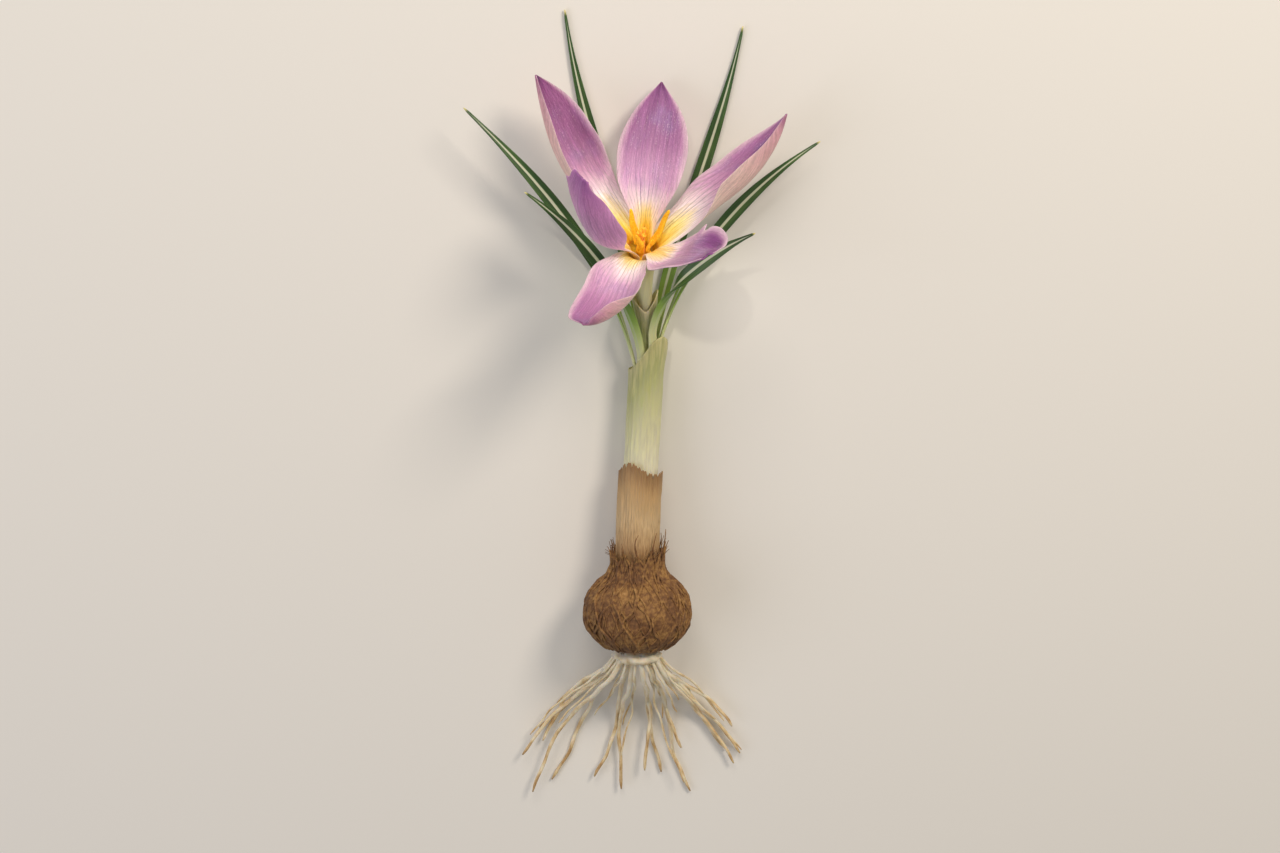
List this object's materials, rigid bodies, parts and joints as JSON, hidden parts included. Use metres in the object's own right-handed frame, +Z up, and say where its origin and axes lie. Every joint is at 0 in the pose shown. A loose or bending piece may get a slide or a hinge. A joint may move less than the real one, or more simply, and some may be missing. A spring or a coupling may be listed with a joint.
{
  "type": "crocus with bulb",
  "caption": "Open lilac crocus with a yellow throat, narrow leaves and white sheath, lifted with its netted bulb and roots and laid down.",
  "frame": {"origin": "middle of the small flat spot on which the bulb rests, at the height of the surface", "axes": "+Y from the bulb along the plant towards the flower, +X to the right as the flower is seen from above, +Z up"},
  "size_m": [0.0644, 0.1547, 0.0391],
  "materials": {
    "corm_coat": "matte",
    "root_white": "satin",
    "dry_sheath": "matte",
    "pale_sheath": "satin",
    "bract_green": "satin",
    "leaf_green": "satin",
    "tube_cream": "satin",
    "outer_lilac": "satin",
    "inner_lilac": "satin",
    "pollen_yellow": "matte",
    "stigma_orange": "matte"
  },
  "bodies": {
    "root": {"corm": "corm_coat", "roots": "root_white", "outer_sheath": "dry_sheath", "inner_sheath": "pale_sheath", "bract": "bract_green", "leaf_1": "leaf_green", "leaf_2": "leaf_green", "leaf_3": "leaf_green", "leaf_4": "leaf_green", "leaf_5": "leaf_green", "leaf_6": "leaf_green", "flower_tube": "tube_cream", "outer_tepal_right": "outer_lilac", "outer_tepal_left": "outer_lilac", "outer_tepal_front": "outer_lilac", "inner_tepal_back": "inner_lilac", "inner_tepal_left": "inner_lilac", "inner_tepal_right": "inner_lilac", "stamen_1": "pollen_yellow", "stamen_2": "pollen_yellow", "stamen_3": "pollen_yellow", "style": "stigma_orange"}
  },
  "joints": []
}
